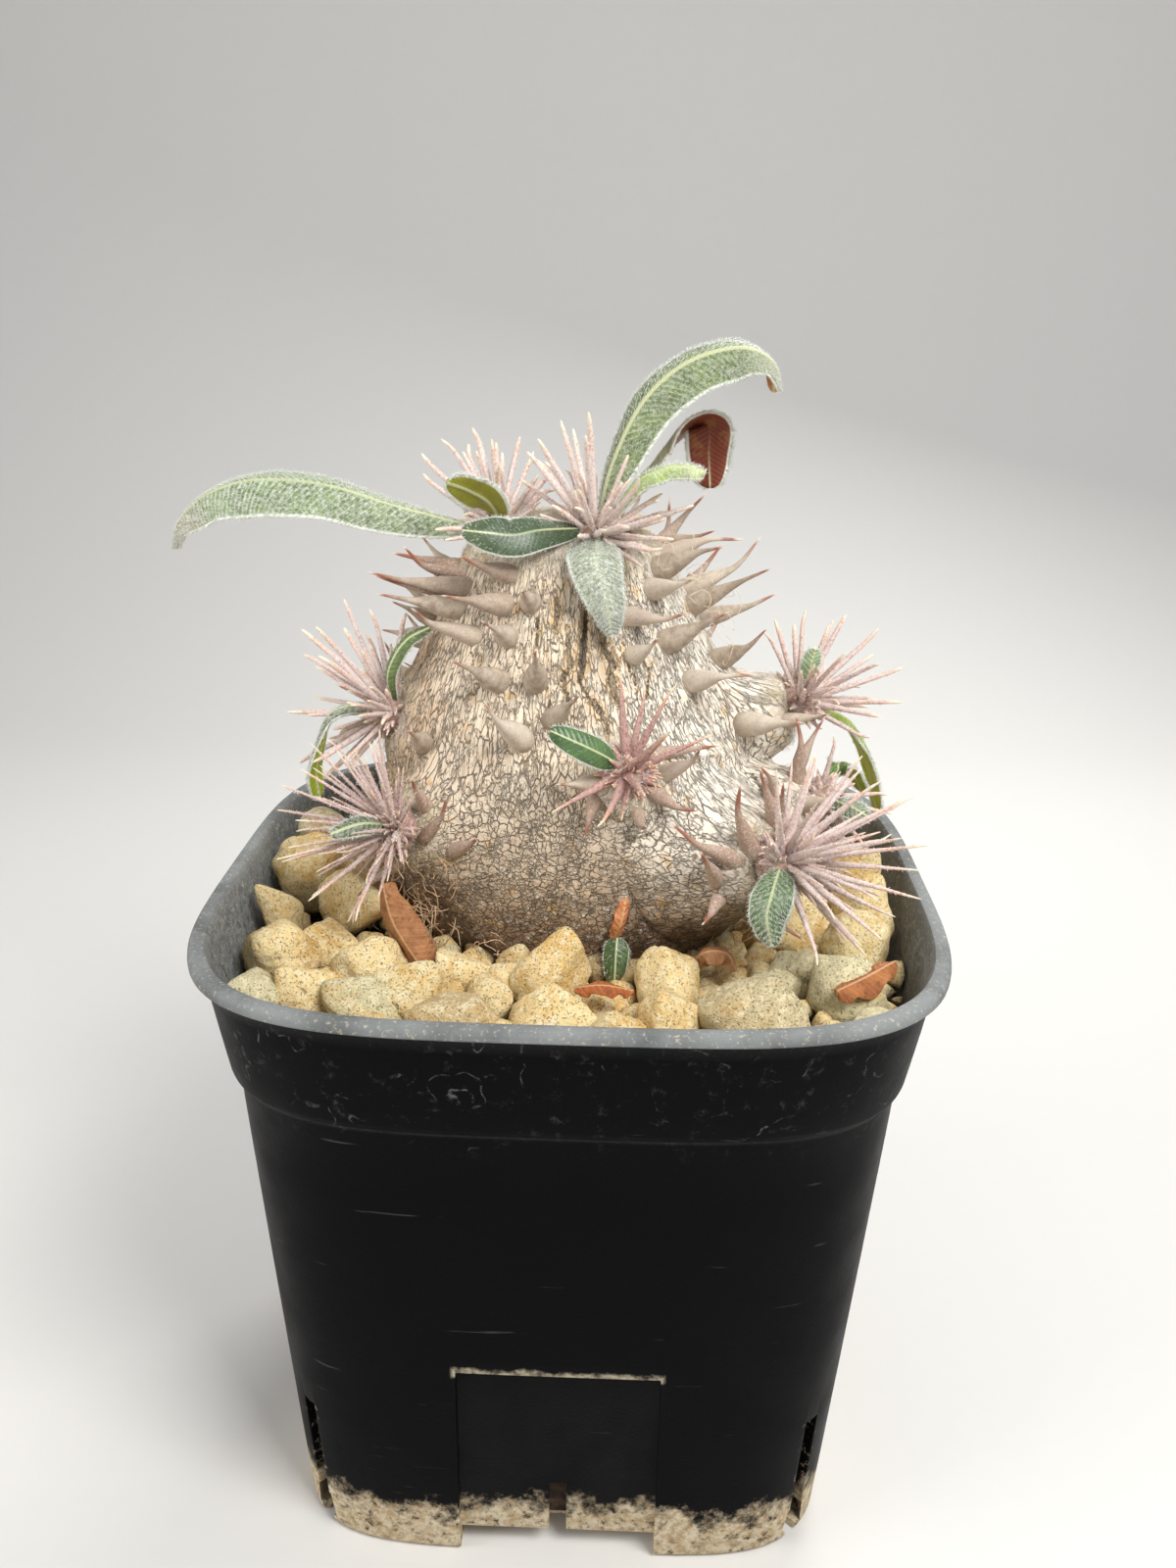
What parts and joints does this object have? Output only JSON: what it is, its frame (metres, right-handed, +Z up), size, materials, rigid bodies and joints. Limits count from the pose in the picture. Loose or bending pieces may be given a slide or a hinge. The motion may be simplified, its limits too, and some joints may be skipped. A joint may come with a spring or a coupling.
{
  "type": "potted pachypodium",
  "caption": "Small spiny caudex plant with a swollen grey trunk and narrow green leaves, growing in stones in a square black nursery pot.",
  "frame": {"origin": "under the middle of the whole object's box, on the surface that the pot's feet stand on; the pot's own middle is 3.6 mm to the right of it, because the long leaf reaches past the rim on the left", "axes": "+Z up, -Y to the front, where the front tip and its small leaf sit; the long crown leaf points to -X"},
  "size_m": [0.097, 0.0898, 0.1455],
  "materials": {
    "black_plastic": "satin, scuffed",
    "potting_mix": "rough, crumbly",
    "pumice_stone": "rough, porous",
    "grey_bark": "rough, cracked",
    "mauve_needle": "woolly",
    "green_leaf": "leathery, finely haired",
    "silver_leaf": "felted",
    "brown_leaf": "dry, papery"
  },
  "bodies": {
    "root": {"caudex": "grey_bark", "dry_leaf_far_left": "brown_leaf", "dry_leaf_left": "brown_leaf", "dry_leaf_middle": "brown_leaf", "dry_leaf_right": "brown_leaf", "dry_leaf_scrap": "brown_leaf", "gravel": "pumice_stone", "leaf_back_left": "green_leaf", "leaf_back_right": "green_leaf", "leaf_base": "green_leaf", "leaf_crown_back": "green_leaf", "leaf_crown_curled": "green_leaf", "leaf_crown_dark": "green_leaf", "leaf_crown_long": "green_leaf", "leaf_crown_olive": "green_leaf", "leaf_crown_short": "green_leaf", "leaf_crown_silver": "silver_leaf", "leaf_crown_tall": "green_leaf", "leaf_front": "green_leaf", "leaf_left_drooping": "green_leaf", "leaf_left_low": "green_leaf", "leaf_right_grey": "green_leaf", "leaf_right_low": "green_leaf", "leaf_right_mid": "green_leaf", "leaf_right_rim": "green_leaf", "leaf_right_small": "green_leaf", "leaf_shoulder_left": "green_leaf", "pot": "black_plastic", "soil": "potting_mix", "tip_back_left": "mauve_needle", "tip_back_right": "mauve_needle", "tip_crown_left": "mauve_needle", "tip_crown_right": "mauve_needle", "tip_front": "mauve_needle", "tip_left_lower": "mauve_needle", "tip_left_upper": "mauve_needle", "tip_right_lower": "mauve_needle", "tip_right_middle": "mauve_needle", "tip_right_upper": "mauve_needle"}
  },
  "joints": []
}
